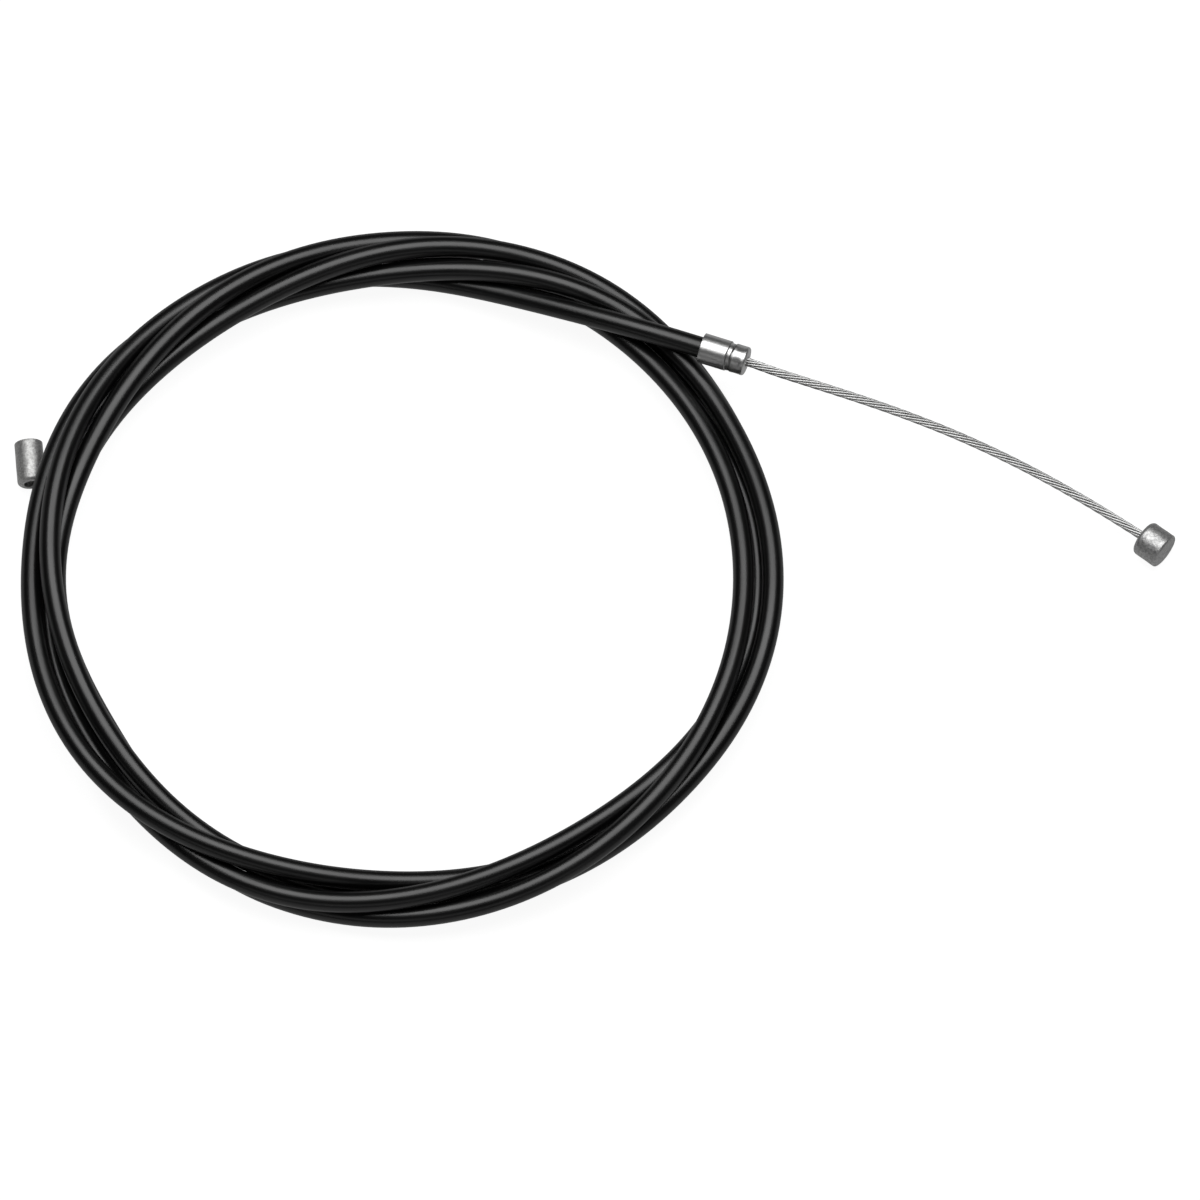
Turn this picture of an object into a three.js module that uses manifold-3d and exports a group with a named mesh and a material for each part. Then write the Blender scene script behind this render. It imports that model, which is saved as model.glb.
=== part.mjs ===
// Bicycle brake cable, coiled as it is supplied: a sheathed housing with a
// stranded inner wire in it, a cast head on the lever end of the wire, a
// crimped end cap on the lever end of the housing and a loose end cap for the
// other end.  Millimetres, +Z up, the coil lies on z = 0.
import * as THREE from 'three';
import { mergeVertices } from 'three/addons/utils/BufferGeometryUtils.js';
import Module from 'manifold-3d';

// ---------------------------------------------------------------- dimensions
const JACKET_R = 2.40;          // outside of the black sheath (housing is 4.8 mm)
const JACKET_BORE_R = 1.95;
const CASING_R = 1.85;          // flat-wire winding, drawn as a plain tube
const CASING_BORE_R = 1.42;
const LINER_R = 1.32;           // slippery plastic tube inside the winding
const LINER_BORE_R = 1.12;
const WIRE_R = 1.00;            // stranded inner wire, 2 mm
const TUBE_SIDES = 8;
const CORE_SIDES = 6;

const CAP_R = 3.40;             // lever-end cap, 6.8 mm across
const CAP_BORE_R = 2.62;
const CAP_WALL = 1.05;          // end wall of the lever-end cap
const CAP_WIRE_HOLE_R = 1.25;
const CAP_GROOVE_R = 3.15;      // crimp groove
const CRIMP_DEPTH = 0.24;       // four punch marks in the groove
const CRIMP_BALL_R = 1.3;
const LOOSE_R = 3.15;           // loose cap, 6.3 mm across
const LOOSE_HOLE_R = 1.70;      // hole in the end wall of the loose cap
const LOOSE_RIM_R = 0.90;       // rounding of its closed end

const HEAD_R = 4.10;            // cast barrel on the wire, 8.2 x 6.3 mm
const HEAD_LENGTH = 6.3;
const HEAD_RIM_R = 1.1;         // rounding on the wire side
const HEAD_FAR_RIM_R = 0.6;     // rounding of the far end
const HEAD_BORE_R = 1.07;
const HEAD_BORE_DEPTH = 5.2;
const WIRE_IN_HEAD = 5.0;
const WIRE_TAIL = 12.0;         // cut end of the wire past the cut end of the housing
const ROUND = 32;               // facets round a turned piece

// Centre line of the housing, from the mouth of the lever-end cap inwards:
// 4.4 turns; every turn goes from the outside of the coil to its inside on top
// and comes back to the outside underneath.
const HOUSING_ROUTE = [
  [23.86, 52.98, 13.68], [9.15, 57.99, 13.23], [-6.35, 63.68, 10.72], [-21.62, 69.33, 7.31],
  [-37.08, 73.72, 4.55], [-52.91, 75.40, 2.89], [-68.80, 73.89, 2.42], [-84.13, 69.16, 2.97],
  [-98.00, 61.08, 4.17], [-109.46, 49.70, 5.65], [-117.77, 35.71, 7.11], [-122.72, 20.14, 8.37],
  [-124.80, 3.92, 9.35], [-124.44, -12.37, 10.13], [-121.23, -28.19, 10.79], [-114.52, -42.68, 11.32],
  [-104.31, -54.80, 11.63], [-91.33, -63.81, 11.50], [-76.70, -69.66, 10.58], [-61.28, -72.81, 8.80],
  [-45.46, -73.51, 6.53], [-29.59, -71.95, 4.30], [-14.23, -67.89, 2.91], [0.04, -60.95, 2.44],
  [12.70, -51.30, 2.42], [23.28, -39.31, 2.43], [31.38, -25.47, 2.42], [36.57, -10.26, 2.42],
  [38.41, 5.70, 2.42], [36.57, 21.62, 2.42], [31.22, 36.70, 2.45], [23.29, 50.44, 3.04],
  [13.25, 62.16, 4.57], [0.82, 70.99, 7.01], [-13.72, 76.48, 9.51], [-29.34, 78.54, 11.56],
  [-45.09, 77.10, 12.62], [-60.25, 72.67, 12.37], [-74.50, 66.13, 11.13], [-87.72, 57.91, 9.61],
  [-99.58, 47.94, 8.36], [-109.36, 36.06, 7.45], [-116.34, 22.40, 6.63], [-120.51, 7.44, 5.55],
  [-121.46, -8.12, 4.50], [-118.66, -23.53, 4.07], [-112.32, -38.24, 4.49], [-103.55, -51.93, 5.37],
  [-92.55, -63.92, 6.36], [-79.38, -73.18, 7.46], [-64.40, -78.53, 8.70], [-48.59, -79.58, 9.71],
  [-32.96, -76.86, 10.05], [-18.08, -71.18, 9.77], [-4.12, -63.30, 9.11], [8.76, -53.67, 8.34],
  [20.11, -42.32, 7.70], [29.05, -29.09, 7.35], [34.64, -14.25, 7.22], [36.16, 1.63, 6.89],
  [33.95, 17.53, 6.10], [28.09, 32.60, 4.78], [19.57, 46.57, 3.33], [9.35, 59.32, 2.47],
  [-1.92, 70.32, 2.77], [-14.60, 78.09, 4.59], [-29.25, 81.30, 6.91], [-45.11, 80.86, 9.11],
  [-60.87, 77.48, 11.08], [-75.58, 71.06, 12.59], [-88.52, 61.75, 13.38], [-99.30, 50.20, 13.32],
  [-107.97, 37.19, 12.52], [-114.63, 23.16, 11.42], [-118.86, 8.39, 10.31], [-119.39, -6.69, 9.06],
  [-115.52, -21.27, 7.47], [-108.64, -34.94, 5.51], [-100.61, -47.94, 3.64], [-91.60, -60.03, 2.55],
  [-80.60, -70.14, 2.55], [-67.02, -77.15, 3.49], [-51.72, -80.99, 4.77], [-35.87, -81.30, 6.30],
  [-20.47, -78.18, 8.03], [-6.25, -71.88, 9.75], [6.27, -62.73, 11.22], [16.78, -51.19, 12.15],
  [24.98, -37.71, 12.37], [30.49, -22.74, 12.06], [33.00, -6.85, 11.45], [32.38, 9.30, 10.74],
  [28.57, 25.03, 9.94], [21.64, 39.68, 8.96], [11.94, 52.65, 7.67], [0.03, 63.56, 6.04],
  [-13.74, 71.92, 4.27], [-28.72, 77.55, 3.19], [-44.19, 80.45, 3.70], [-59.88, 79.50, 5.26],
  [-75.07, 74.54, 7.26], [-89.11, 66.23, 9.37], [-101.40, 55.24, 11.44], [-111.12, 41.99, 13.31],
  [-117.58, 27.02, 14.64], [-120.56, 11.21, 15.09], [-120.30, -4.58, 14.77], [-117.04, -19.76, 13.86],
  [-111.13, -33.93, 12.49], [-102.92, -46.78, 10.70], [-92.56, -57.81, 8.55], [-80.03, -66.34, 6.28],
  [-65.76, -72.30, 4.19], [-50.63, -76.36, 2.86], [-35.16, -77.59, 2.82], [-19.77, -74.97, 3.78],
  [-5.02, -69.46, 4.97], [8.20, -61.29, 6.30], [19.58, -50.86, 7.77], [29.02, -38.68, 9.22],
  [35.78, -24.82, 10.35], [39.22, -9.56, 10.89], [39.14, 6.41, 10.67], [35.74, 22.29, 9.71],
  [29.52, 37.33, 8.49], [20.91, 50.80, 8.09], [9.62, 61.52, 9.14], [-4.20, 68.68, 10.60],
  [-19.59, 72.40, 11.21], [-35.44, 73.50, 10.29], [-51.21, 72.65, 8.37], [-66.72, 69.93, 6.47],
  [-81.60, 64.79, 4.91], [-95.28, 56.88, 3.76], [-106.84, 46.20, 3.02], [-115.43, 32.96, 2.59],
  [-120.81, 17.55, 2.41],
];
const FERRULE_FACE = [33.99, 49.46, 13.85];
const EXPOSED_WIRE = [
  [33.99, 49.46, 13.85], [39.64, 47.28, 13.83], [45.37, 45.33, 13.58], [51.13, 43.51, 13.14],
  [56.89, 41.74, 12.55], [62.63, 39.95, 11.83], [68.34, 38.10, 11.01], [74.00, 36.14, 10.13],
  [79.61, 34.06, 9.21], [85.15, 31.81, 8.27], [90.64, 29.41, 7.36], [96.04, 26.82, 6.51],
  [101.38, 24.06, 5.73], [106.63, 21.12, 5.06], [111.80, 18.01, 4.55], [116.87, 14.72, 4.22],
  [121.84, 11.27, 4.10],
];
const HEAD_CENTRE = [124.34, 9.35, 4.10];
const HEAD_AXIS = [0.79368, -0.60833, 0.00000];
const LOOSE_FAR_END = [-125.97, 34.20, 3.15];
const LOOSE_NEAR_END = [-125.17, 24.37, 3.15];

// ------------------------------------------------------------------- helpers
const V = (a) => new THREE.Vector3(a[0], a[1], a[2]);
const UP = new THREE.Vector3(0, 0, 1);

// A run of straight pieces whose rings all have a level diameter, so that
// tubes drawn round the same run nest facet on facet.
class Run extends THREE.Curve {
  constructor(points) { super(); this.points = points; }
  getPoint(t) {
    const n = this.points.length - 1;
    const k = Math.min(n - 1, Math.floor(t * n));
    return this.points[k].clone().lerp(this.points[k + 1], t * n - k);
  }
  getSpacedPoints() { return this.points.map((p) => p.clone()); }
  computeFrenetFrames() {
    const p = this.points, last = p.length - 1;
    const tangents = [], normals = [], binormals = [];
    for (let k = 0; k <= last; k++) {
      const a = k > 0 ? p[k].clone().sub(p[k - 1]).normalize() : new THREE.Vector3();
      const b = k < last ? p[k + 1].clone().sub(p[k]).normalize() : new THREE.Vector3();
      const t = a.add(b).normalize();
      const n = new THREE.Vector3().crossVectors(UP, t).normalize();
      tangents.push(t); normals.push(n);
      binormals.push(new THREE.Vector3().crossVectors(t, n));
    }
    return { tangents, normals, binormals };
  }
}

function ngon(radius, sides, Kind) {
  const pts = [];
  for (let k = 0; k < sides; k++) {
    const a = (2 * Math.PI * k) / sides;
    pts.push(new THREE.Vector2(radius * Math.cos(a), radius * Math.sin(a)));
  }
  return new Kind(pts);
}

function signedVolume(g) {
  const p = g.getAttribute('position'), i = g.getIndex();
  const a = new THREE.Vector3(), b = new THREE.Vector3(), c = new THREE.Vector3();
  let v = 0;
  for (let k = 0; k < i.count; k += 3) {
    a.fromBufferAttribute(p, i.getX(k)); b.fromBufferAttribute(p, i.getX(k + 1));
    c.fromBufferAttribute(p, i.getX(k + 2));
    v += a.dot(b.cross(c)) / 6;
  }
  return v;
}

// Welds the vertices and turns the faces outwards.
function closed(geometry) {
  for (const name of ['normal', 'uv']) if (geometry.getAttribute(name)) geometry.deleteAttribute(name);
  let g = mergeVertices(geometry, 1e-4);
  const src = Array.from(g.getIndex().array), keep = [];
  for (let k = 0; k < src.length; k += 3) {
    const [a, b, c] = [src[k], src[k + 1], src[k + 2]];
    if (a !== b && b !== c && c !== a) keep.push(a, b, c);
  }
  g.setIndex(keep);
  if (signedVolume(g) < 0) {
    for (let k = 0; k < keep.length; k += 3) [keep[k + 1], keep[k + 2]] = [keep[k + 2], keep[k + 1]];
    g.setIndex(keep);
  }
  return g;
}

function tube(points, outer, sides, bore, boreSides) {
  const shape = ngon(outer, sides, THREE.Shape);
  if (bore) shape.holes.push(ngon(bore, boreSides, THREE.Path));
  return closed(new THREE.ExtrudeGeometry(shape, {
    steps: points.length - 1, extrudePath: new Run(points), bevelEnabled: false,
  }));
}

// Turned piece: profile of [radius, distance along the axis], start of the axis
// at `from`, pointing along `dir`.
function turned(profile, from, dir, sides) {
  const pts = profile.concat([profile[0]]).map(([r, t]) => new THREE.Vector2(r, t));
  const g = new THREE.LatheGeometry(pts, sides);
  g.applyQuaternion(new THREE.Quaternion().setFromUnitVectors(new THREE.Vector3(0, 1, 0), dir));
  g.translate(from.x, from.y, from.z);
  return closed(g);
}

const wasm = await Module();
wasm.setup();
function solid(g) {
  return new wasm.Manifold(new wasm.Mesh({
    numProp: 3,
    vertProperties: Float32Array.from(g.getAttribute('position').array),
    triVerts: Uint32Array.from(g.getIndex().array),
  }));
}
function shell(m) {
  const mesh = m.getMesh();
  const pos = new Float32Array(mesh.numVert * 3);
  for (let k = 0; k < mesh.numVert; k++) {
    for (let j = 0; j < 3; j++) pos[3 * k + j] = mesh.vertProperties[mesh.numProp * k + j];
  }
  const g = new THREE.BufferGeometry();
  g.setAttribute('position', new THREE.BufferAttribute(pos, 3));
  g.setIndex(Array.from(mesh.triVerts));
  return closed(g);
}

const part = new THREE.Group();
part.name = 'bicycle_brake_cable';
function add(name, geometry, color, roughness, metalness) {
  geometry.computeVertexNormals();
  const mesh = new THREE.Mesh(geometry, new THREE.MeshStandardMaterial({ color, roughness, metalness }));
  mesh.name = name;
  part.add(mesh);
}

// -------------------------------------------------------------------- routes
const route = HOUSING_ROUTE.map(V);
const face = V(FERRULE_FACE);
const mouth = route[0];
const capAxis = face.clone().sub(mouth).normalize();
const capLength = face.distanceTo(mouth);
// the housing goes into the cap as far as the end wall, less a little play
const housingStart = face.clone().addScaledVector(capAxis, -(CAP_WALL + 0.3));
const housing = [housingStart, ...route];
const tailDir = route[route.length - 1].clone().sub(route[route.length - 2]).normalize();
const tailEnd = route[route.length - 1].clone().addScaledVector(tailDir, WIRE_TAIL);
const headAxis = V(HEAD_AXIS).normalize();
const headCentre = V(HEAD_CENTRE);
const shoulder = headCentre.clone().addScaledVector(headAxis, -HEAD_LENGTH / 2);
const exposed = EXPOSED_WIRE.map(V);
exposed[exposed.length - 1].copy(shoulder);
const wireEnd = shoulder.clone().addScaledVector(headAxis, WIRE_IN_HEAD);
const wire = [wireEnd, ...exposed.slice().reverse(), housingStart, ...route, tailEnd];

// -------------------------------------------------------------------- pieces
add('outer_jacket', tube(housing, JACKET_R, TUBE_SIDES, JACKET_BORE_R, CORE_SIDES), 0x17181a, 0.36, 0.0);
add('spiral_casing', tube(housing, CASING_R, CORE_SIDES, CASING_BORE_R, CORE_SIDES), 0x8b8e91, 0.45, 0.9);
add('inner_liner', tube(housing, LINER_R, CORE_SIDES, LINER_BORE_R, CORE_SIDES), 0xe9e5da, 0.5, 0.0);
add('inner_wire', tube(wire, WIRE_R, CORE_SIDES, 0, 0), 0xb4b7bb, 0.35, 0.9);

// lever-end cap: drawn cup with a wire hole, crimped on near its closed end
const g0 = capLength - 4.3, g1 = capLength - 3.5;
let cap = solid(turned([
  [CAP_BORE_R, 0], [CAP_R - 0.12, 0], [CAP_R, 0.15], [CAP_R, g0 - 0.25], [CAP_GROOVE_R, g0],
  [CAP_GROOVE_R, g1], [CAP_R - 0.06, g1 + 0.25], [CAP_R - 0.06, capLength - 0.75],
  [CAP_R - 0.16, capLength - 0.4], [CAP_R - 0.4, capLength - 0.12], [CAP_R - 0.7, capLength],
  [CAP_WIRE_HOLE_R, capLength], [CAP_WIRE_HOLE_R, capLength - CAP_WALL], [CAP_BORE_R, capLength - CAP_WALL],
], mouth, capAxis, ROUND));
const side = new THREE.Vector3().crossVectors(UP, capAxis).normalize();
const top = new THREE.Vector3().crossVectors(capAxis, side);
for (let k = 0; k < 4; k++) {
  const a = Math.PI / 4 + (k * Math.PI) / 2;
  const out = side.clone().multiplyScalar(Math.cos(a)).addScaledVector(top, Math.sin(a));
  const c = mouth.clone().addScaledVector(capAxis, (g0 + g1) / 2 + 0.9)
    .addScaledVector(out, CAP_R - 0.06 + CRIMP_BALL_R - CRIMP_DEPTH);
  const ball = new THREE.IcosahedronGeometry(CRIMP_BALL_R, 1);
  ball.translate(c.x, c.y, c.z);
  cap = cap.subtract(solid(closed(ball)));
}
add('lever_end_cap', shell(cap), 0xd9dbdd, 0.2, 1.0);

// loose cap for the other end of the housing, lying beside the coil
const farEnd = V(LOOSE_FAR_END), nearEnd = V(LOOSE_NEAR_END);
const looseAxis = nearEnd.clone().sub(farEnd).normalize();
const L = farEnd.distanceTo(nearEnd);
const rim = [];
for (let k = 0; k <= 4; k++) {
  const a = (k * Math.PI) / 8;
  rim.push([LOOSE_R - LOOSE_RIM_R + LOOSE_RIM_R * Math.cos(a), L - LOOSE_RIM_R + LOOSE_RIM_R * Math.sin(a)]);
}
add('caliper_end_cap', turned([
  [CAP_BORE_R, 0], [LOOSE_R - 0.1, 0], [LOOSE_R, 0.12], ...rim,
  [LOOSE_HOLE_R, L], [LOOSE_HOLE_R, L - 1.2], [CAP_BORE_R, L - 1.2],
], farEnd, looseAxis, ROUND), 0xbcbdbd, 0.45, 0.9);

// cast head on the lever end of the wire
const q = [];
for (let k = 0; k <= 3; k++) {
  const a = (k * Math.PI) / 6;
  q.push([Math.cos(a), Math.sin(a)]);
}
const headProfile = [[HEAD_BORE_R, HEAD_BORE_DEPTH], [HEAD_BORE_R, 0]];
for (const [c, s] of q.slice().reverse()) {
  headProfile.push([HEAD_R - HEAD_RIM_R + HEAD_RIM_R * c, HEAD_RIM_R - HEAD_RIM_R * s]);
}
for (const [c, s] of q) {
  headProfile.push([HEAD_R - HEAD_FAR_RIM_R + HEAD_FAR_RIM_R * c, HEAD_LENGTH - HEAD_FAR_RIM_R + HEAD_FAR_RIM_R * s]);
}
headProfile.push([0, HEAD_LENGTH], [0, HEAD_BORE_DEPTH]);
add('cable_head', turned(headProfile, shoulder, headAxis, ROUND), 0x9c9da0, 0.5, 0.85);

export default part;
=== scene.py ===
import math
import bpy
import numpy as np
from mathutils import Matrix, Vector


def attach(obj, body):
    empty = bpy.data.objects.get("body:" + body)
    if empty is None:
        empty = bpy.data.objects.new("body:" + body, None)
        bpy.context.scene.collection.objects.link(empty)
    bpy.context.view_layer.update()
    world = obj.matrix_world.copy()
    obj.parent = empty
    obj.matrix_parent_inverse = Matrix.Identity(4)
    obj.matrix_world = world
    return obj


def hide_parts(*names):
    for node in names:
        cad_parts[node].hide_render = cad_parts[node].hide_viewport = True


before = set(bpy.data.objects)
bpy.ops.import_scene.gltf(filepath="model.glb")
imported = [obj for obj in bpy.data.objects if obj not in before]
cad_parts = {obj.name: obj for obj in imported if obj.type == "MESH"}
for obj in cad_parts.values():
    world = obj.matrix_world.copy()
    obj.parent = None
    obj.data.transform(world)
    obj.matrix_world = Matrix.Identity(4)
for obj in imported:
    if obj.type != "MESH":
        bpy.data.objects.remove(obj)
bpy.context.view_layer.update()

rng = np.random.default_rng(11)

# ---------------------------------------------------------------- dimensions
JACKET_R = 0.00240
JACKET_BORE_R = 0.00195
CASING_R = 0.00188
CASING_BORE_R = 0.00140
LINER_R = 0.00134
LINER_BORE_R = 0.00110
WIRE_R = 0.00100
CAP_R = 0.00340
CAP_BORE_R = 0.00250
CAP_WALL = 0.00105
CAP_WIRE_HOLE_R = 0.00122
LOOSE_R = 0.00315
LOOSE_HOLE_R = 0.00170
HEAD_R = 0.00410
HEAD_LENGTH = 0.0063
WIRE_TAIL = 0.012

# the routes of part.mjs, in metres
HOUSING_ROUTE = [
    (0.02386, 0.05298, 0.01368), (0.00915, 0.05799, 0.01323), (-0.00635, 0.06368, 0.01072), (-0.02162, 0.06933, 0.00731),
    (-0.03708, 0.07372, 0.00455), (-0.05291, 0.07540, 0.00289), (-0.06880, 0.07389, 0.00242), (-0.08413, 0.06916, 0.00297),
    (-0.09800, 0.06108, 0.00417), (-0.10946, 0.04970, 0.00565), (-0.11777, 0.03571, 0.00711), (-0.12272, 0.02014, 0.00837),
    (-0.12480, 0.00392, 0.00935), (-0.12444, -0.01237, 0.01013), (-0.12123, -0.02819, 0.01079), (-0.11452, -0.04268, 0.01132),
    (-0.10431, -0.05480, 0.01163), (-0.09133, -0.06381, 0.01150), (-0.07670, -0.06966, 0.01058), (-0.06128, -0.07281, 0.00880),
    (-0.04546, -0.07351, 0.00653), (-0.02959, -0.07195, 0.00430), (-0.01423, -0.06789, 0.00291), (0.00004, -0.06095, 0.00244),
    (0.01270, -0.05130, 0.00242), (0.02328, -0.03931, 0.00243), (0.03138, -0.02547, 0.00242), (0.03657, -0.01026, 0.00242),
    (0.03841, 0.00570, 0.00242), (0.03657, 0.02162, 0.00242), (0.03122, 0.03670, 0.00245), (0.02329, 0.05044, 0.00304),
    (0.01325, 0.06216, 0.00457), (0.00082, 0.07099, 0.00701), (-0.01372, 0.07648, 0.00951), (-0.02934, 0.07854, 0.01156),
    (-0.04509, 0.07710, 0.01262), (-0.06025, 0.07267, 0.01237), (-0.07450, 0.06613, 0.01113), (-0.08772, 0.05791, 0.00961),
    (-0.09958, 0.04794, 0.00836), (-0.10936, 0.03606, 0.00745), (-0.11634, 0.02240, 0.00663), (-0.12051, 0.00744, 0.00555),
    (-0.12146, -0.00812, 0.00450), (-0.11866, -0.02353, 0.00407), (-0.11232, -0.03824, 0.00449), (-0.10355, -0.05193, 0.00537),
    (-0.09255, -0.06392, 0.00636), (-0.07938, -0.07318, 0.00746), (-0.06440, -0.07853, 0.00870), (-0.04859, -0.07958, 0.00971),
    (-0.03296, -0.07686, 0.01005), (-0.01808, -0.07118, 0.00977), (-0.00412, -0.06330, 0.00911), (0.00876, -0.05367, 0.00834),
    (0.02011, -0.04232, 0.00770), (0.02905, -0.02909, 0.00735), (0.03464, -0.01425, 0.00722), (0.03616, 0.00163, 0.00689),
    (0.03395, 0.01753, 0.00610), (0.02809, 0.03260, 0.00478), (0.01957, 0.04657, 0.00333), (0.00935, 0.05932, 0.00247),
    (-0.00192, 0.07032, 0.00277), (-0.01460, 0.07809, 0.00459), (-0.02925, 0.08130, 0.00691), (-0.04511, 0.08086, 0.00911),
    (-0.06087, 0.07748, 0.01108), (-0.07558, 0.07106, 0.01259), (-0.08852, 0.06175, 0.01338), (-0.09930, 0.05020, 0.01332),
    (-0.10797, 0.03719, 0.01252), (-0.11463, 0.02316, 0.01142), (-0.11886, 0.00839, 0.01031), (-0.11939, -0.00669, 0.00906),
    (-0.11552, -0.02127, 0.00747), (-0.10864, -0.03494, 0.00551), (-0.10061, -0.04794, 0.00364), (-0.09160, -0.06003, 0.00255),
    (-0.08060, -0.07014, 0.00255), (-0.06702, -0.07715, 0.00349), (-0.05172, -0.08099, 0.00477), (-0.03587, -0.08130, 0.00630),
    (-0.02047, -0.07818, 0.00803), (-0.00625, -0.07188, 0.00975), (0.00627, -0.06273, 0.01122), (0.01678, -0.05119, 0.01215),
    (0.02498, -0.03771, 0.01237), (0.03049, -0.02274, 0.01206), (0.03300, -0.00685, 0.01145), (0.03238, 0.00930, 0.01074),
    (0.02857, 0.02503, 0.00994), (0.02164, 0.03968, 0.00896), (0.01194, 0.05265, 0.00767), (0.00003, 0.06356, 0.00604),
    (-0.01374, 0.07192, 0.00427), (-0.02872, 0.07755, 0.00319), (-0.04419, 0.08045, 0.00370), (-0.05988, 0.07950, 0.00526),
    (-0.07507, 0.07454, 0.00726), (-0.08911, 0.06623, 0.00937), (-0.10140, 0.05524, 0.01144), (-0.11112, 0.04199, 0.01331),
    (-0.11758, 0.02702, 0.01464), (-0.12056, 0.01121, 0.01509), (-0.12030, -0.00458, 0.01477), (-0.11704, -0.01976, 0.01386),
    (-0.11113, -0.03393, 0.01249), (-0.10292, -0.04678, 0.01070), (-0.09256, -0.05781, 0.00855), (-0.08003, -0.06634, 0.00628),
    (-0.06576, -0.07230, 0.00419), (-0.05063, -0.07636, 0.00286), (-0.03516, -0.07759, 0.00282), (-0.01977, -0.07497, 0.00378),
    (-0.00502, -0.06946, 0.00497), (0.00820, -0.06129, 0.00630), (0.01958, -0.05086, 0.00777), (0.02902, -0.03868, 0.00922),
    (0.03578, -0.02482, 0.01035), (0.03922, -0.00956, 0.01089), (0.03914, 0.00641, 0.01067), (0.03574, 0.02229, 0.00971),
    (0.02952, 0.03733, 0.00849), (0.02091, 0.05080, 0.00809), (0.00962, 0.06152, 0.00914), (-0.00420, 0.06868, 0.01060),
    (-0.01959, 0.07240, 0.01121), (-0.03544, 0.07350, 0.01029), (-0.05121, 0.07265, 0.00837), (-0.06672, 0.06993, 0.00647),
    (-0.08160, 0.06479, 0.00491), (-0.09528, 0.05688, 0.00376), (-0.10684, 0.04620, 0.00302), (-0.11543, 0.03296, 0.00259),
    (-0.12081, 0.01755, 0.00241),
]
EXPOSED_WIRE = [
    (0.03399, 0.04946, 0.01385), (0.03964, 0.04728, 0.01383), (0.04537, 0.04533, 0.01358), (0.05113, 0.04351, 0.01314),
    (0.05689, 0.04174, 0.01255), (0.06263, 0.03995, 0.01183), (0.06834, 0.03810, 0.01101), (0.07400, 0.03614, 0.01013),
    (0.07961, 0.03406, 0.00921), (0.08515, 0.03181, 0.00827), (0.09064, 0.02941, 0.00736), (0.09604, 0.02682, 0.00651),
    (0.10138, 0.02406, 0.00573), (0.10663, 0.02112, 0.00506), (0.11180, 0.01801, 0.00455), (0.11687, 0.01472, 0.00422),
    (0.12184, 0.01127, 0.00410),
]
FERRULE_FACE = (0.03399, 0.04946, 0.01385)
HEAD_CENTRE = (0.12434, 0.00935, 0.00410)
LOOSE_FAR_END = (-0.12597, 0.03420, 0.00315)
LOOSE_NEAR_END = (-0.12517, 0.02437, 0.00315)
HEAD_AXIS = (0.79368, -0.60833, 0.00000)


# -------------------------------------------------------------------- camera
def look(obj, at):
    obj.rotation_euler = (Vector(at) - obj.location).to_track_quat("-Z", "Y").to_euler()


ELEV = math.radians(66.0)
CENTRE = (0.001233, -0.002370, 0.0)
DIST = 8.0
cam_data = bpy.data.cameras.new("camera")
cam_data.sensor_width = 36.0
cam_data.lens = DIST * 36.0 / 0.266667
cam_data.clip_start = 0.5
cam_data.clip_end = 40.0
cam = bpy.data.objects.new("camera", cam_data)
cam.location = (CENTRE[0], CENTRE[1] - DIST * math.cos(ELEV), CENTRE[2] + DIST * math.sin(ELEV))
bpy.context.scene.collection.objects.link(cam)
look(cam, CENTRE)
bpy.context.scene.camera = cam


# ------------------------------------------------------------------- helpers
def spline(points, step):
    """Points on one smooth curve through the given ones (natural cubic)."""
    p = np.array(points, float)
    t = np.concatenate([[0], np.cumsum(np.linalg.norm(np.diff(p, axis=0), axis=1))])
    n = len(p)
    h = np.diff(t)
    a = np.zeros((n, n))
    b = np.zeros((n, 3))
    a[0, 0] = a[-1, -1] = 1.0
    for k in range(1, n - 1):
        a[k, k - 1] = h[k - 1]
        a[k, k] = 2 * (h[k - 1] + h[k])
        a[k, k + 1] = h[k]
        b[k] = 6 * ((p[k + 1] - p[k]) / h[k] - (p[k] - p[k - 1]) / h[k - 1])
    m = np.linalg.solve(a, b)
    u = np.linspace(0, t[-1], max(2, int(round(t[-1] / step)) + 1))
    k = np.clip(np.searchsorted(t, u, side="right") - 1, 0, n - 2)
    hk = h[k][:, None]
    x0 = (t[k + 1] - u)[:, None]
    x1 = (u - t[k])[:, None]
    return (m[k] * x0 ** 3 + m[k + 1] * x1 ** 3) / (6 * hk) + (p[k] / hk - m[k] * hk / 6) * x0 \
        + (p[k + 1] / hk - m[k + 1] * hk / 6) * x1


def frames(path):
    """Tangent, level normal and up vector at each point of a path."""
    d = np.diff(path, axis=0)
    d /= np.linalg.norm(d, axis=1)[:, None]
    t = np.vstack([d[:1], d[:-1] + d[1:], d[-1:]])
    t /= np.linalg.norm(t, axis=1)[:, None]
    n = np.cross(np.array([0.0, 0.0, 1.0]), t)
    n /= np.linalg.norm(n, axis=1)[:, None]
    return t, n, np.cross(t, n)


def mesh_object(name, verts, faces, smooth=True, attrs=None):
    me = bpy.data.meshes.new(name)
    me.from_pydata([tuple(map(float, v)) for v in verts], [], [tuple(map(int, f)) for f in faces])
    me.validate()
    me.update()
    if smooth:
        me.polygons.foreach_set("use_smooth", [True] * len(me.polygons))
    for key, values in (attrs or {}).items():
        a = me.attributes.new(key, "FLOAT_VECTOR", "POINT")
        a.data.foreach_set("vector", np.asarray(values, np.float32).ravel())
    ob = bpy.data.objects.new(name, me)
    bpy.context.scene.collection.objects.link(ob)
    return ob


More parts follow.
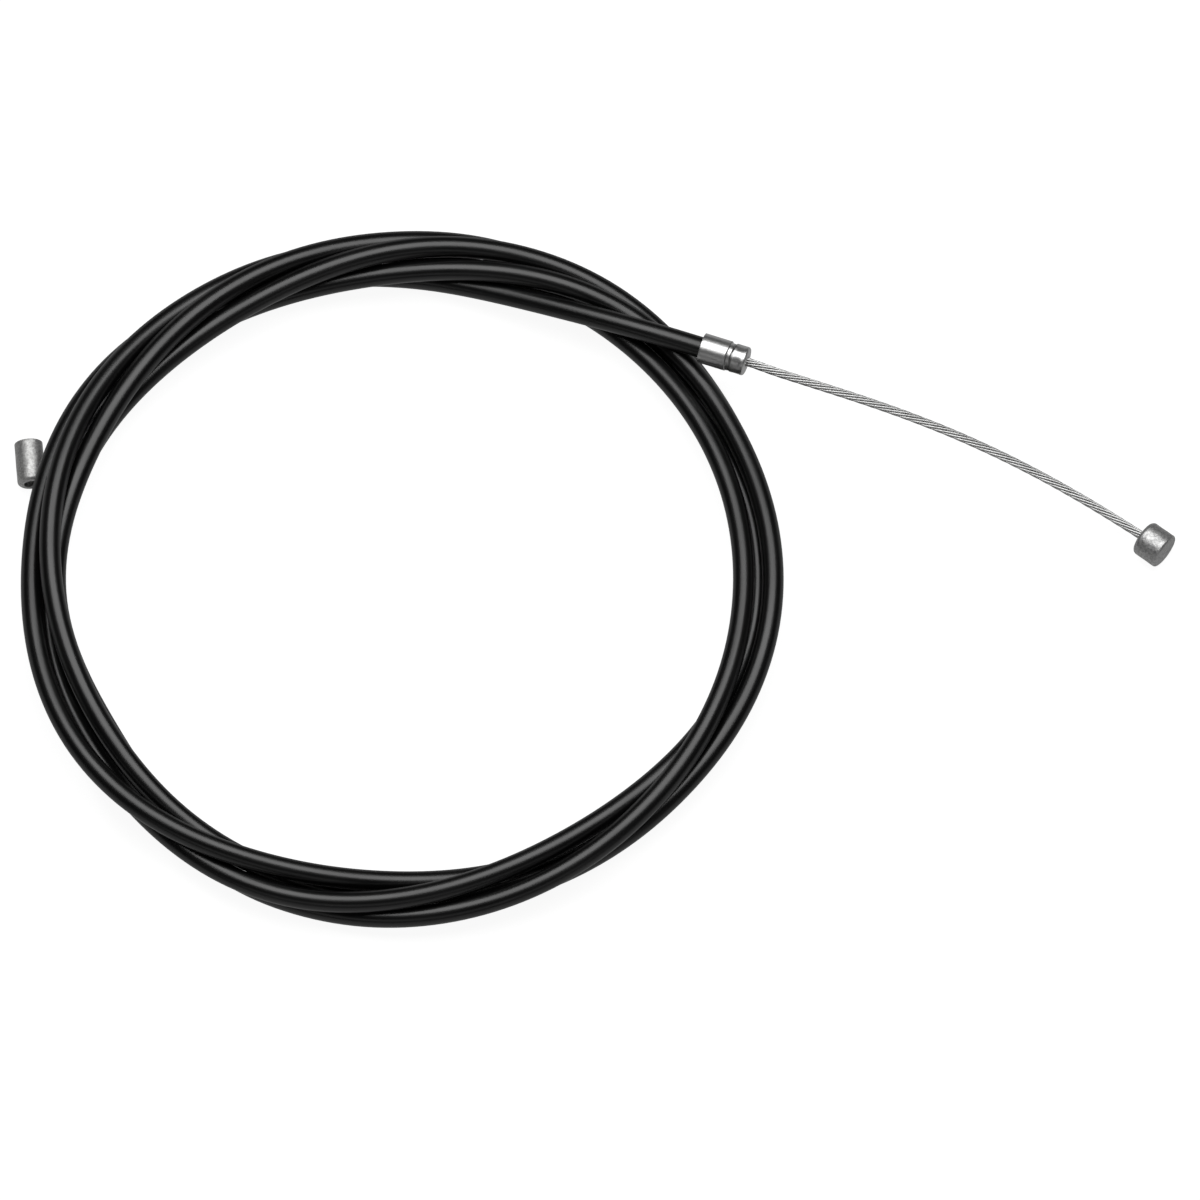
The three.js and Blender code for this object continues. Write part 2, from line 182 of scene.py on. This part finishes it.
def grid_faces(rings, sides, first=0, flip=False, close=False):
    out = []
    for k in range(rings if close else rings - 1):
        for j in range(sides):
            a = first + k * sides + j
            b = first + k * sides + (j + 1) % sides
            c = first + ((k + 1) % rings) * sides + (j + 1) % sides
            d = first + ((k + 1) % rings) * sides + j
            out.append((a, d, c, b) if flip else (a, b, c, d))
    return out


def pipe(name, path, outer, sides, bore=None, bore_sides=12):
    """A tube with a real wall (or a rod), closed at both ends; carries the
    distance along it and the turn round it for its material."""
    t, n, b = frames(path)
    s = np.concatenate([[0], np.cumsum(np.linalg.norm(np.diff(path, axis=0), axis=1))])
    verts, faces, lay = [], [], []
    m = len(path)
    ang = 2 * np.pi * np.arange(sides) / sides
    for radius, sd, inward in ((outer, sides, False),) + (((bore, bore_sides, True),) if bore else ()):
        an = 2 * np.pi * np.arange(sd) / sd
        ring = n[:, None, :] * np.cos(an)[None, :, None] + b[:, None, :] * np.sin(an)[None, :, None]
        first = len(verts)
        verts.extend((path[:, None, :] + ring * radius).reshape(-1, 3))
        lay.extend(np.stack([np.repeat(s, sd), np.tile(np.cos(an), m) * radius,
                             np.tile(np.sin(an), m) * radius], axis=1))
        faces += grid_faces(m, sd, first, flip=inward)
    if bore:
        second = m * sides
        ratio = sides // bore_sides
        for start, flip in ((0, True), (m - 1, False)):
            o0, i0 = start * sides, second + start * bore_sides
            for j in range(bore_sides):
                outer_run = [o0 + (j * ratio + q) % sides for q in range(ratio + 1)]
                face = outer_run + [i0 + (j + 1) % bore_sides, i0 + j]
                faces.append(tuple(reversed(face)) if flip else tuple(face))
    else:
        faces.append(tuple(reversed(range(sides))))
        faces.append(tuple((m - 1) * sides + j for j in range(sides)))
    return mesh_object(name, verts, faces, attrs={"lay": lay})


def axes_of(direction):
    d = np.array(direction, float)
    d /= np.linalg.norm(d)
    n = np.cross([0.0, 0.0, 1.0], d)
    n /= np.linalg.norm(n)
    return d, n, np.cross(d, n)


def turned(name, profile, origin, direction, sides=96, shape=None):
    """A turned piece from a closed profile of (radius, distance) pairs; shape
    moves its points in and out to punch or dent it."""
    d, n, b = axes_of(direction)
    pr = np.array(profile, float)
    an = 2 * np.pi * np.arange(sides) / sides
    verts, faces, lay, index = [], [], [], []
    for r, x in pr:
        if r < 1e-9:
            index.append([len(verts)] * sides)
            verts.append(np.array(origin) + d * x)
            lay.append((x, 0, 0))
            continue
        row = []
        for a in an:
            rr, xx = shape(r, x, a) if shape else (r, x)
            row.append(len(verts))
            verts.append(np.array(origin) + d * xx + (n * math.cos(a) + b * math.sin(a)) * rr)
            lay.append((xx, rr * math.cos(a), rr * math.sin(a)))
        index.append(row)
    m = len(pr)
    for k in range(m):
        lo, hi = index[k], index[(k + 1) % m]
        if lo[0] == lo[1] and hi[0] == hi[1]:
            continue
        for j in range(sides):
            q = [lo[j], lo[(j + 1) % sides], hi[(j + 1) % sides], hi[j]]
            f = [v for i, v in enumerate(q) if v != q[i - 1]]
            if len(f) > 2:
                faces.append(tuple(f))
    ob = mesh_object(name, verts, faces, attrs={"lay": lay})
    # outward faces
    v = np.array(verts)
    vol = 0.0
    for f in faces:
        for i in range(1, len(f) - 1):
            vol += np.dot(v[f[0]], np.cross(v[f[i]], v[f[i + 1]]))
    if vol < 0:
        ob.data.flip_normals()
    return ob


def arc(cx, cy, r, a0, a1, steps):
    return [(cx + r * math.cos(math.radians(a0 + (a1 - a0) * k / steps)),
             cy + r * math.sin(math.radians(a0 + (a1 - a0) * k / steps))) for k in range(steps + 1)]


def sharp_edges(ob, degrees=35):
    me = ob.data
    me.calc_loop_triangles()
    import bmesh
    bm = bmesh.new()
    bm.from_mesh(me)
    lim = math.radians(degrees)
    for e in bm.edges:
        if len(e.link_faces) == 2 and e.calc_face_angle(0.0) > lim:
            e.smooth = False
    bm.to_mesh(me)
    bm.free()


# ------------------------------------------------------------------ materials
class Nodes:
    def __init__(self, name):
        self.mat = bpy.data.materials.new(name)
        self.mat.use_nodes = True
        self.tree = self.mat.node_tree
        self.tree.nodes.clear()
        self.out = self.add("ShaderNodeOutputMaterial")
        self.bsdf = self.add("ShaderNodeBsdfPrincipled")
        self.tree.links.new(self.bsdf.outputs[0], self.out.inputs[0])

    def add(self, kind, **values):
        node = self.tree.nodes.new(kind)
        for key, v in values.items():
            setattr(node, key, v)
        return node

    def link(self, a, b):
        self.tree.links.new(a, b)

    def lay(self, scale=(1, 1, 1)):
        a = self.add("ShaderNodeAttribute", attribute_name="lay")
        m = self.add("ShaderNodeMapping")
        m.inputs["Scale"].default_value = scale
        self.link(a.outputs["Vector"], m.inputs["Vector"])
        return m.outputs["Vector"]

    def coords(self, scale=(1, 1, 1)):
        a = self.add("ShaderNodeTexCoord")
        m = self.add("ShaderNodeMapping")
        m.inputs["Scale"].default_value = scale
        self.link(a.outputs["Object"], m.inputs["Vector"])
        return m.outputs["Vector"]

    def noise(self, vector, scale, detail=3.0, rough=0.5):
        n = self.add("ShaderNodeTexNoise")
        n.inputs["Scale"].default_value = scale
        n.inputs["Detail"].default_value = detail
        n.inputs["Roughness"].default_value = rough
        self.link(vector, n.inputs["Vector"])
        return n.outputs["Fac"]

    def span(self, fac, lo, hi, a=0.3, b=0.7):
        m = self.add("ShaderNodeMapRange")
        m.inputs["From Min"].default_value = a
        m.inputs["From Max"].default_value = b
        m.inputs["To Min"].default_value = lo
        m.inputs["To Max"].default_value = hi
        self.link(fac, m.inputs["Value"])
        return m.outputs["Result"]

    def ramp(self, fac, stops):
        r = self.add("ShaderNodeValToRGB")
        el = r.color_ramp.elements
        while len(el) < len(stops):
            el.new(0.5)
        for e, (pos, col) in zip(el, stops):
            e.position = pos
            e.color = (*col, 1.0)
        self.link(fac, r.inputs["Fac"])
        return r.outputs["Color"]

    def painted_shade_band(self, colour, axis, at, half, soft, shade):
        """Painted shade in a band of the lay: full within half of at, fading over soft."""
        a = self.add("ShaderNodeAttribute", attribute_name="lay")
        p = self.add("ShaderNodeSeparateXYZ")
        self.link(a.outputs["Vector"], p.inputs["Vector"])
        d = self.add("ShaderNodeMath", operation="SUBTRACT")
        d.inputs[1].default_value = at
        self.link(p.outputs[axis], d.inputs[0])
        m = self.add("ShaderNodeMath", operation="ABSOLUTE")
        self.link(d.outputs[0], m.inputs[0])
        f = self.span(m.outputs[0], shade, 1.0, half, half + soft)
        v = self.add("ShaderNodeVectorMath", operation="SCALE")
        self.link(colour, v.inputs[0])
        self.link(f, v.inputs["Scale"])
        return v.outputs["Vector"]

    def bump(self, height, strength, distance, base=None):
        b = self.add("ShaderNodeBump")
        b.inputs["Strength"].default_value = strength
        b.inputs["Distance"].default_value = distance
        self.link(height, b.inputs["Height"])
        if base is not None:
            self.link(base, b.inputs["Normal"])
        return b.outputs["Normal"]

    def set(self, **values):
        for key, v in values.items():
            self.bsdf.inputs[key.replace("_", " ")].default_value = v

    def to(self, out, name):
        self.link(out, self.bsdf.inputs[name])


def black_sheath():
    n = Nodes("sheath_black_pvc")
    n.set(Metallic=0.0, IOR=1.58)
    along = n.lay((60, 900, 900))
    fine = n.noise(n.coords(), 2600.0, 4.0, 0.6)
    drawn = n.noise(along, 1.0, 3.0, 0.55)
    broad = n.noise(n.coords(), 60.0, 2.0, 0.5)
    n.to(n.ramp(broad, [(0.3, (0.0013, 0.0013, 0.0014)), (0.7, (0.0022, 0.0022, 0.0023))]), "Base Color")
    n.to(n.span(drawn, 0.27, 0.36), "Roughness")
    b = n.bump(drawn, 0.18, 0.00004)
    n.to(n.bump(fine, 0.22, 0.00002, b), "Normal")
    return n.mat


def metal(name, dark, light, rough, speck=0.0, speck_scale=3000.0, bump=0.15, grain=None, metallic=1.0,
          mottle=320.0, axis="X", painted_shade_zones=()):
    n = Nodes(name)
    n.set(Metallic=metallic)
    co = n.coords()
    blotch = n.noise(co, mottle, 4.0, 0.6)
    colour = n.ramp(blotch, [(0.3, dark), (0.7, light)])
    # painted shade: each zone darkens the base colour in a band of the lay, standing in for shade in grooves and gaps
    for at, half, soft, shade in painted_shade_zones:
        colour = n.painted_shade_band(colour, axis, at, half, soft, shade)
    n.to(colour, "Base Color")
    fine = n.noise(co if grain is None else n.lay(grain), speck_scale if grain is None else 1.0, 4.0, 0.6)
    n.to(n.span(fine, rough[0], rough[1]), "Roughness")
    b = n.bump(fine, bump, 0.00003)
    if speck:
        coarse = n.noise(co, 1500.0, 3.0, 0.55)
        b = n.bump(coarse, speck, 0.00007, b)
    n.to(b, "Normal")
    return n.mat


MAT_SHEATH = black_sheath()
MAT_WINDING = metal("winding_steel", (0.35, 0.36, 0.37), (0.5, 0.51, 0.52), (0.3, 0.45))
# painted shade: the core rod (lay y near 1) is darkened to 3 % so the gaps between the outer strands read dark
MAT_WIRE = metal("wire_steel", (0.60, 0.60, 0.595), (0.74, 0.74, 0.735), (0.38, 0.48), bump=0.1,
                 axis="Y", painted_shade_zones=((1.0, 0.2, 0.01, 0.03),))
MAT_HEAD = metal("head_cast_zinc", (0.34, 0.34, 0.34), (0.70, 0.70, 0.695), (0.44, 0.56), speck=0.8, bump=0.7,
                 mottle=1900.0)
GROOVE = float(np.linalg.norm(np.subtract(FERRULE_FACE, HOUSING_ROUTE[0]))) - 0.0039
# painted shade: two thin darker bands of the base colour beside the rolled groove stand in for the shade on its walls
MAT_BRIGHT = metal("cap_bright_nickel", (0.65, 0.65, 0.645), (0.75, 0.75, 0.745), (0.33, 0.41), bump=0.12,
                   grain=(2500, 900, 900), painted_shade_zones=((GROOVE - 0.00056, 0.00006, 0.00012, 0.45),
                                                  (GROOVE + 0.00054, 0.00018, 0.00020, 0.50)))
MAT_DULL = metal("cap_dull_nickel", (0.36, 0.36, 0.355), (0.76, 0.76, 0.75), (0.48, 0.60), speck=1.0, bump=0.7,
                 mottle=2300.0)


def liner_material():
    n = Nodes("liner_plastic")
    n.set(Metallic=0.0, Subsurface_Weight=0.0)
    f = n.noise(n.coords(), 400.0, 2.0, 0.5)
    n.to(n.ramp(f, [(0.3, (0.70, 0.68, 0.62)), (0.7, (0.80, 0.78, 0.72))]), "Base Color")
    n.to(n.span(f, 0.35, 0.5), "Roughness")
    return n.mat


MAT_LINER = liner_material()


def finish_piece(ob, material, node):
    ob.data.materials.clear()
    ob.data.materials.append(material)
    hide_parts(node)
    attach(ob, "root")


# ------------------------------------------------------------------- housing
route = [np.array(p) for p in HOUSING_ROUTE]
face = np.array(FERRULE_FACE)
mouth = route[0]
cap_axis = (face - mouth) / np.linalg.norm(face - mouth)
cap_length = float(np.linalg.norm(face - mouth))
housing_start = face - cap_axis * (CAP_WALL + 0.0003)
# the curve leaves the cap along its axis
inside = [housing_start, housing_start * 0.5 + mouth * 0.5]
HOUSING = spline(inside + route, 0.0022)
HOUSING[:, 2] = np.maximum(HOUSING[:, 2], JACKET_R)
end_dir = HOUSING[-1] - HOUSING[-2]
end_dir = end_dir / np.linalg.norm(end_dir)

jacket = pipe("housing_sheath", HOUSING, JACKET_R, 24, JACKET_BORE_R, 12)
finish_piece(jacket, MAT_SHEATH, "outer_jacket")
casing = pipe("housing_winding", HOUSING[::2] if len(HOUSING) % 2 else np.vstack([HOUSING[::2], HOUSING[-1:]]),
              CASING_R, 12, CASING_BORE_R, 12)
finish_piece(casing, MAT_WINDING, "spiral_casing")
liner = pipe("housing_liner", HOUSING[::2] if len(HOUSING) % 2 else np.vstack([HOUSING[::2], HOUSING[-1:]]),
             LINER_R, 12, LINER_BORE_R, 12)
finish_piece(liner, MAT_LINER, "inner_liner")

# ---------------------------------------------------------------- inner wire
head_axis = np.array(HEAD_AXIS) / np.linalg.norm(HEAD_AXIS)
head_centre = np.array(HEAD_CENTRE)
shoulder = head_centre - head_axis * HEAD_LENGTH / 2
wire_end = shoulder + head_axis * 0.0050
exposed = [np.array(p) for p in EXPOSED_WIRE]
exposed[-1] = shoulder
tail = HOUSING[-1] + end_dir * WIRE_TAIL
outside = spline([wire_end] + exposed[::-1] + [housing_start, mouth], 0.0006)
hidden = np.vstack([HOUSING[3::3], HOUSING[-1:]]) if (len(HOUSING) - 1) % 3 else HOUSING[3::3]

STRANDS = 8
STRAND_R = 0.000245
LAY_R = WIRE_R - STRAND_R
PITCH = 0.0211


def stranded(path, phase=0.0, sides=8):
    """The outer wires of the strand, laid left-handed round a core."""
    t, n, b = frames(path)
    s = np.concatenate([[0], np.cumsum(np.linalg.norm(np.diff(path, axis=0), axis=1))])
    verts, faces, lay = [], [], []
    for k in range(STRANDS):
        a = phase + 2 * np.pi * k / STRANDS - 2 * np.pi * s / PITCH
        c = path + LAY_R * (n * np.cos(a)[:, None] + b * np.sin(a)[:, None])
        tt, nn, bb = frames(c)
        an = 2 * np.pi * np.arange(sides) / sides
        ring = nn[:, None, :] * np.cos(an)[None, :, None] + bb[:, None, :] * np.sin(an)[None, :, None]
        first = len(verts)
        verts.extend((c[:, None, :] + ring * STRAND_R).reshape(-1, 3))
        lay.extend(np.stack([np.repeat(s, sides), np.tile(np.cos(an), len(c)) * STRAND_R + k * 0.01,
                             np.tile(np.sin(an), len(c)) * STRAND_R], axis=1))
        faces += grid_faces(len(c), sides, first)
        faces.append(tuple(first + j for j in reversed(range(sides))))
        faces.append(tuple(first + (len(c) - 1) * sides + j for j in range(sides)))
    return verts, faces, lay


def rod(path, radius, sides, painted_shade_mark=0.0):
    t, n, b = frames(path)
    an = 2 * np.pi * np.arange(sides) / sides
    ring = n[:, None, :] * np.cos(an)[None, :, None] + b[:, None, :] * np.sin(an)[None, :, None]
    verts = list((path[:, None, :] + ring * radius).reshape(-1, 3))
    faces = grid_faces(len(path), sides)
    faces.append(tuple(reversed(range(sides))))
    faces.append(tuple((len(path) - 1) * sides + j for j in range(sides)))
    s = np.concatenate([[0], np.cumsum(np.linalg.norm(np.diff(path, axis=0), axis=1))])
    lay = np.stack([np.repeat(s, sides), np.tile(np.cos(an), len(path)) * radius + painted_shade_mark,
                    np.tile(np.sin(an), len(path)) * radius], axis=1)
    return verts, faces, list(lay)


tail_path = np.array([HOUSING[-1] - end_dir * 0.002 + end_dir * (WIRE_TAIL + 0.002) * k / 24 for k in range(25)])
verts, faces, lay = [], [], []
# the core rods get the lay mark 1.0 so the wire material paints them dark, a painted shade between the strands
for v, f, l in (stranded(outside), rod(outside[::2], WIRE_R - 1.95 * STRAND_R, 12, 1.0),
                rod(hidden, WIRE_R, 8), stranded(tail_path, 0.4), rod(tail_path, WIRE_R - 1.95 * STRAND_R, 12, 1.0)):
    first = len(verts)
    verts += list(v)
    faces += [tuple(i + first for i in q) for q in f]
    lay += list(l)
wire = mesh_object("inner_wire_strand", verts, faces, attrs={"lay": lay})
finish_piece(wire, MAT_WIRE, "inner_wire")
sharp_edges(wire, 60)

# ------------------------------------------------------------ lever-end cap


def crimp(r, x, a):
    if r < CAP_R - 0.0006 or x > cap_length - 0.0006:
        return r, x
    # the roll is a little uneven round the cap in place and depth
    near = math.exp(-((x - GROOVE) / 0.0011) ** 4)
    x += near * (0.00016 * math.sin(a * 2 + 0.6) + 0.00006 * math.sin(a * 5 + 1.0))
    if abs(x - GROOVE) < 0.0009 and r < CAP_R - 0.00016:
        r -= 0.00006 * math.sin(a * 3 + 0.4)
    # four deeper punches in the end part
    for ang, xx, dd, wa in ((0.9, GROOVE + 0.0021, 0.00014, 0.42), (2.3, GROOVE + 0.0020, 0.00010, 0.40),
                            (-0.7, GROOVE + 0.0022, 0.00015, 0.42), (3.9, GROOVE + 0.0021, 0.00015, 0.42)):
        da = (a - ang + math.pi) % (2 * math.pi) - math.pi
        r -= dd * math.exp(-(da / wa) ** 4 - ((x - xx) / 0.0008) ** 4)
    return r, x


def roll(x):
    """Depth of the rolled groove and of the slightly smaller end part."""
    u = (x - GROOVE) * 1000.0
    steps = ((-0.70, 0.0), (-0.44, 0.26), (0.26, 0.32), (0.74, 0.12))
    if u <= steps[0][0]:
        return 0.0
    if u >= steps[-1][0]:
        return steps[-1][1] / 1000.0
    for (u0, d0), (u1, d1) in zip(steps, steps[1:]):
        if u <= u1:
            f = (u - u0) / (u1 - u0)
            f = f * f * (3 - 2 * f)
            return (d0 + (d1 - d0) * f) / 1000.0


cap_profile = [(CAP_BORE_R, 0.0), (CAP_R - 0.00012, 0.0)] + arc(CAP_R - 0.00012, 0.00012, 0.00012, -90, 0, 3)[1:]
xs = np.concatenate([np.linspace(0.0008, GROOVE - 0.0008, 20), np.linspace(GROOVE - 0.00072, GROOVE + 0.00078, 40),
                     np.linspace(GROOVE + 0.0009, cap_length - 0.0009, 28)])
cap_profile += [(CAP_R - roll(x), x) for x in xs]
cap_profile += arc(CAP_R - 0.00072, cap_length - 0.0006, 0.0006, 0, 90, 8)
cap_profile += [(0.0018, cap_length), (CAP_WIRE_HOLE_R + 0.0001, cap_length), (CAP_WIRE_HOLE_R, cap_length - 0.0001),
                (CAP_WIRE_HOLE_R, cap_length - CAP_WALL), (CAP_BORE_R, cap_length - CAP_WALL)]
cap = turned("lever_cap", cap_profile, mouth, cap_axis, 96, crimp)
sharp_edges(cap, 40)
finish_piece(cap, MAT_BRIGHT, "lever_end_cap")

# ------------------------------------------------------------ loose end cap
far_end, near_end = np.array(LOOSE_FAR_END), np.array(LOOSE_NEAR_END)
loose_len = float(np.linalg.norm(near_end - far_end))


def worn(r, x, a):
    if r > LOOSE_R - 0.0004:
        r += 0.000018 * math.sin(3 * a + 900 * x) + 0.000012 * math.sin(7 * a - 1500 * x)
    return min(r, LOOSE_R), x


loose_profile = [(0.00262, 0.0), (LOOSE_R - 0.00008, 0.0)] + arc(LOOSE_R - 0.00008, 0.00008, 0.00008, -90, 0, 3)[1:]
loose_profile += [(LOOSE_R, x) for x in np.linspace(0.0006, loose_len - 0.0010, 30)]
loose_profile += arc(LOOSE_R - 0.0009, loose_len - 0.0009, 0.0009, 0, 90, 8)
loose_profile += [(LOOSE_HOLE_R + 0.0001, loose_len), (LOOSE_HOLE_R, loose_len - 0.0001),
                  (LOOSE_HOLE_R, loose_len - 0.0012), (0.00262, loose_len - 0.0012)]
loose = turned("caliper_cap", loose_profile, far_end, near_end - far_end, 96, worn)
sharp_edges(loose, 40)
finish_piece(loose, MAT_DULL, "caliper_end_cap")

# ------------------------------------------------------------------ the head


def cast(r, x, a):
    if r > 0.002:
        r += 0.000014 * math.sin(4 * a + 1200 * x) + 0.000010 * math.sin(9 * a - 2100 * x) - 0.000024
    return r, x


head_profile = [(0.0, 0.0052), (0.00106, 0.0052), (0.00106, 0.0), (0.0018, 0.0), (0.0024, 0.0)]
head_profile += arc(HEAD_R - 0.0011, 0.0011, 0.0011, -90, 0, 8)
head_profile += [(HEAD_R, x) for x in np.linspace(0.0014, HEAD_LENGTH - 0.0010, 16)]
head_profile += arc(HEAD_R - 0.0006, HEAD_LENGTH - 0.0006, 0.0006, 0, 90, 8)
head_profile += [(0.0026, HEAD_LENGTH), (0.0016, HEAD_LENGTH - 0.00003), (0.0, HEAD_LENGTH - 0.00003)]
head = turned("barrel_head", head_profile, shoulder, head_axis, 96, cast)
sharp_edges(head, 50)
finish_piece(head, MAT_HEAD, "cable_head")

# ---------------------------------------------------------- floor and lights
me = bpy.data.meshes.new("floor")
S = 6.0
me.from_pydata([(-S, -S, 0), (S, -S, 0), (S, S, 0), (-S, S, 0)], [], [(0, 1, 2, 3)])
floor = bpy.data.objects.new("floor", me)
floor.location = (0, 0, -0.00005)
bpy.context.scene.collection.objects.link(floor)
fm = Nodes("floor_white")
fm.set(Base_Color=(0.2, 0.2, 0.2, 1.0), Roughness=0.9, Emission_Color=(1.0, 1.0, 1.0, 1.0), Emission_Strength=0.93)
fm.bsdf.inputs["Specular IOR Level"].default_value = 0.0
me.materials.append(fm.mat)
# the white floor is cut back in the reflections, where a greyer sheet is seen
floor.visible_glossy = False
me = bpy.data.meshes.new("floor_reflected")
me.from_pydata([(-S, -S, 0), (S, -S, 0), (S, S, 0), (-S, S, 0)], [], [(0, 1, 2, 3)])
card = bpy.data.objects.new("floor_reflected", me)
card.location = (0, 0, -0.0004)
bpy.context.scene.collection.objects.link(card)
cm = Nodes("floor_grey")
cm.set(Base_Color=(0.0, 0.0, 0.0, 1.0), Roughness=1.0, Emission_Color=(1.0, 1.0, 1.0, 1.0), Emission_Strength=0.36)
cm.bsdf.inputs["Specular IOR Level"].default_value = 0.0
me.materials.append(cm.mat)
card.visible_camera = card.visible_diffuse = card.visible_shadow = card.visible_transmission = False


def softbox(name, loc, at, size, power):
    li = bpy.data.lights.new(name, "AREA")
    li.shape = "RECTANGLE"
    li.size, li.size_y = size
    li.energy = power
    ob = bpy.data.objects.new(name, li)
    ob.location = loc
    bpy.context.scene.collection.objects.link(ob)
    look(ob, at)
    return ob


softbox("key_overhead", (0.0, 0.34, 1.30), (0, 0.34, 0), (1.5, 1.08), 16.6)
softbox("front_fill", (0.0, -1.25, 0.60), (0, 0, 0), (2.4, 0.42), 1.2)
world = bpy.data.worlds.new("studio")
world.use_nodes = True
world.node_tree.nodes["Background"].inputs[0].default_value = (1, 1, 1, 1)
world.node_tree.nodes["Background"].inputs[1].default_value = 0.02
bpy.context.scene.world = world
bpy.context.scene.view_settings.view_transform = "Standard"
bpy.context.scene.view_settings.look = "None"
bpy.context.scene.view_settings.exposure = 0.0
